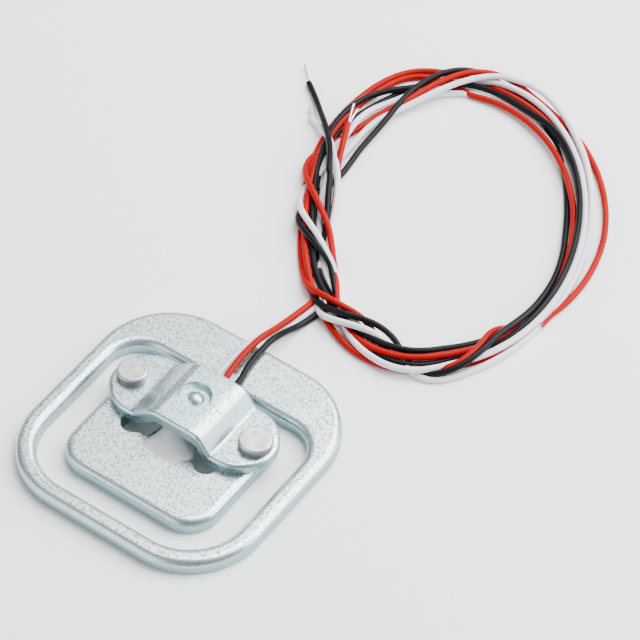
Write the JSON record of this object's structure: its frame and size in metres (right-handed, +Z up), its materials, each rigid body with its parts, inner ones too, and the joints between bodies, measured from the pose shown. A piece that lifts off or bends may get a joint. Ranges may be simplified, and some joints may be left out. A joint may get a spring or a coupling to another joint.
{
  "type": "weighing load cell",
  "caption": "Flat square half-bridge load cell: a punched steel spring plate with a riveted dimpled bridge over its strain beam and thin insulated wires in a loose coil.",
  "frame": {"origin": "middle of the base plate's underside", "axes": "+Z up from the underside towards the bridge, +Y along the strain beam towards the wires, +X to the right ear"},
  "size_m": [0.0524, 0.092, 0.0061],
  "materials": {
    "plate_steel": "zinc plated",
    "bridge_steel": "zinc plated",
    "rivet_steel": "satin",
    "carrier_film": "glossy",
    "gauge_foil": "etched foil",
    "solder": "bright",
    "tinned_strands": "tinned",
    "sealant": "satin",
    "coil_insulation": "glossy",
    "white_insulation": "glossy",
    "red_insulation": "glossy",
    "black_insulation": "glossy"
  },
  "bodies": {
    "root": {"base_plate": "plate_steel", "bridge": "bridge_steel", "gauge_film": "carrier_film", "gauge_grid_front": "gauge_foil", "gauge_grid_rear": "gauge_foil", "gauge_sealant": "sealant", "inner_end_black": "tinned_strands", "inner_end_red": "tinned_strands", "inner_end_white": "tinned_strands", "rivet_left": "rivet_steel", "rivet_right": "rivet_steel", "solder_joint_black": "solder", "solder_joint_red": "solder", "solder_joint_white": "solder", "terminal_pad_black": "gauge_foil", "terminal_pad_red": "gauge_foil", "terminal_pad_white": "gauge_foil", "wire_black_lead": "black_insulation", "wire_black_tail": "black_insulation", "wire_black_tip": "tinned_strands", "wire_coil": "coil_insulation", "wire_red_lead": "red_insulation", "wire_red_tail": "red_insulation", "wire_red_tip": "tinned_strands", "wire_white_lead": "white_insulation", "wire_white_tail": "white_insulation", "wire_white_tip": "tinned_strands"}
  },
  "joints": []
}
